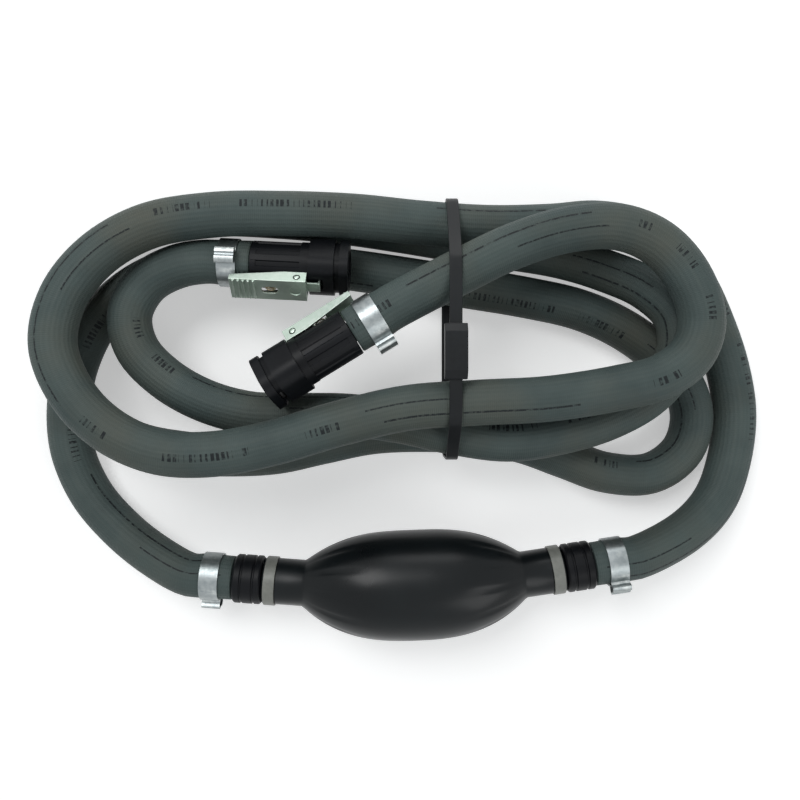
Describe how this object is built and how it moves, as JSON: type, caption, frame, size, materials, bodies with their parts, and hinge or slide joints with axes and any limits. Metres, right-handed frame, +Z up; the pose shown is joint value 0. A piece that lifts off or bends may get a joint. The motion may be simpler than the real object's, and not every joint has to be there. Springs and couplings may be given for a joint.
{
  "type": "marine fuel line assembly",
  "caption": "Coiled grey outboard fuel hose with a black primer bulb, latching quick connectors at its ends, ear clamps and a cable tie round the coil.",
  "frame": {"origin": "middle of the assembly's bounding box, at the level of the surface it lies on", "axes": "+Z up from the surface, +X along the coil's long way towards the bulb's outlet, +Y from the bulb towards the coil"},
  "size_m": [0.2919, 0.1797, 0.0572],
  "materials": {
    "hose": "matte",
    "bulb": "satin",
    "black_plastic": "satin",
    "white_plastic": "satin",
    "neck_ring": "satin",
    "seal": "matte",
    "clamp_steel": "satin",
    "plated_steel": "gloss",
    "spring_steel": "satin"
  },
  "bodies": {
    "fuel_line": {"hose_a": "hose", "hose_b": "hose", "primer_bulb": "bulb", "outlet_valve_body": "black_plastic", "inlet_valve_body": "black_plastic", "outlet_neck_ring": "neck_ring", "inlet_neck_ring": "neck_ring", "clamp_outlet": "clamp_steel", "clamp_inlet": "clamp_steel", "clamp_connector_a": "clamp_steel", "clamp_connector_b": "clamp_steel", "cable_tie": "black_plastic", "connector_a_body": "black_plastic", "connector_a_lever_pin": "plated_steel", "connector_a_lever_spring": "spring_steel", "connector_a_poppet_spring": "spring_steel", "connector_a_o_ring": "seal", "connector_b_body": "black_plastic", "connector_b_lever_pin": "plated_steel", "connector_b_lever_spring": "spring_steel", "connector_b_poppet_spring": "spring_steel", "connector_b_o_ring": "seal"},
    "latch_a": {"connector_a_lever": "plated_steel"},
    "latch_b": {"connector_b_lever": "plated_steel"},
    "poppet_a": {"connector_a_poppet": "white_plastic"},
    "poppet_b": {"connector_b_poppet": "white_plastic"},
    "outlet_disc": {"outlet_check_disc": "white_plastic"},
    "inlet_disc": {"inlet_check_disc": "white_plastic"}
  },
  "joints": [
    {"name": "connector_a_latch", "type": "hinge", "parent": "fuel_line", "child": "latch_a", "pos_m": [-0.03908, 0.02846, 0.0386], "axis": [0.2612, -0.4263, -0.866], "range_deg": [0, 5], "stiffness_Nm_per_rad": 1, "springref_deg": -1.72, "deforming": ["connector_a_lever_spring"]},
    {"name": "connector_a_poppet_slide", "type": "slide", "parent": "fuel_line", "child": "poppet_a", "axis": [0.8526, 0.5225, 0], "range_m": [0, 0.0035], "stiffness_N_per_m": 600, "springref_m": -0.002, "deforming": ["connector_a_poppet_spring"]},
    {"name": "connector_b_latch", "type": "hinge", "parent": "fuel_line", "child": "latch_b", "pos_m": [-0.03955, 0.04827, 0.0346], "axis": [-0.028, -0.5729, -0.8192], "range_deg": [0, 5], "stiffness_Nm_per_rad": 1, "springref_deg": -1.72, "deforming": ["connector_b_lever_spring"]},
    {"name": "connector_b_poppet_slide", "type": "slide", "parent": "fuel_line", "child": "poppet_b", "axis": [-0.9988, 0.0489, 0], "range_m": [0, 0.0035], "stiffness_N_per_m": 600, "springref_m": -0.002, "deforming": ["connector_b_poppet_spring"]},
    {"name": "outlet_check_disc_slide", "type": "slide", "parent": "fuel_line", "child": "outlet_disc", "axis": [0.9887, 0.1499, 0], "range_m": [0, 0.0026]},
    {"name": "inlet_check_disc_slide", "type": "slide", "parent": "fuel_line", "child": "inlet_disc", "axis": [0.9973, -0.0736, 0], "range_m": [0, 0.0026]}
  ]
}
